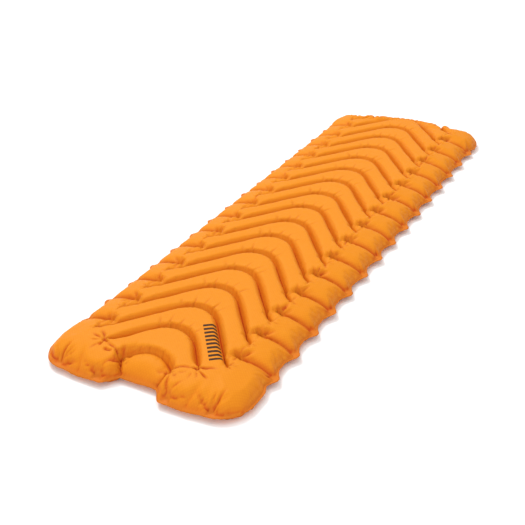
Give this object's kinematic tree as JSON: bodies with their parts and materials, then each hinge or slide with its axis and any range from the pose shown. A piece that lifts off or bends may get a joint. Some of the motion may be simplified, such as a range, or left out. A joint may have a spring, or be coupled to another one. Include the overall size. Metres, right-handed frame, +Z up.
{
  "type": "inflatable sleeping pad",
  "caption": "Inflated full-length sleeping pad with V-shaped air chambers, side pillows and a notched end; flip valve and push-pull valve sit in recesses underneath.",
  "frame": {"origin": "centre of the footprint, on the ground under the pad", "axes": "+Y along the pad's length towards the plain end (the V apexes point that way), +X across it, +Z up"},
  "size_m": [0.584, 1.829, 0.0644],
  "materials": {
    "orange_fabric": "satin coated weave",
    "insulation": "loose fibre",
    "weld_film": "matte film",
    "valve_grey": "fine moulded grain",
    "valve_orange": "fine moulded grain",
    "silicone": "translucent matte",
    "seal_rubber": "matte",
    "pin_steel": "drawn wire"
  },
  "bodies": {
    "pad": {"top_sheet": "orange_fabric", "bottom_sheet": "orange_fabric", "insulation_batt_01": "insulation", "insulation_batt_02": "insulation", "insulation_batt_03": "insulation", "insulation_batt_04": "insulation", "insulation_batt_05": "insulation", "insulation_batt_06": "insulation", "insulation_batt_07": "insulation", "insulation_batt_08": "insulation", "insulation_batt_09": "insulation", "insulation_batt_10": "insulation", "insulation_batt_11": "insulation", "insulation_batt_12": "insulation", "insulation_batt_13": "insulation", "insulation_batt_14": "insulation", "insulation_batt_15": "insulation", "insulation_batt_16": "insulation", "insulation_batt_17": "insulation", "flip_valve_flange": "weld_film", "flip_valve_patch": "weld_film", "flip_valve_body": "valve_grey", "plug_hinge_pin": "pin_steel", "adjust_valve_flange": "weld_film", "adjust_valve_patch": "weld_film", "adjust_valve_stem": "valve_grey", "nozzle_seal_ring": "seal_rubber"},
    "plug": {"deflation_plug": "valve_grey", "plug_seal_ring": "seal_rubber", "cap_hinge_pin": "pin_steel"},
    "disc": {"check_disc": "silicone"},
    "cap": {"outer_cap": "valve_orange", "cap_seal_ring": "seal_rubber"},
    "nozzle": {"adjust_nozzle": "valve_orange"}
  },
  "joints": [
    {"name": "plug_hinge", "type": "hinge", "parent": "pad", "child": "plug", "pos_m": [-0.1455, -0.8585, 0.0089], "axis": [0, -1, 0], "range_deg": [0, 120]},
    {"name": "cap_hinge", "type": "hinge", "parent": "plug", "child": "cap", "pos_m": [-0.19, -0.8585, 0.0074], "axis": [0, 1, 0], "range_deg": [0, 130]},
    {"name": "disc_lift", "type": "slide", "parent": "plug", "child": "disc", "axis": [0, 0, 1], "range_m": [0, 0.0019]},
    {"name": "nozzle_pull", "type": "slide", "parent": "pad", "child": "nozzle", "axis": [0, 0, -1], "range_m": [0, 0.004]}
  ]
}
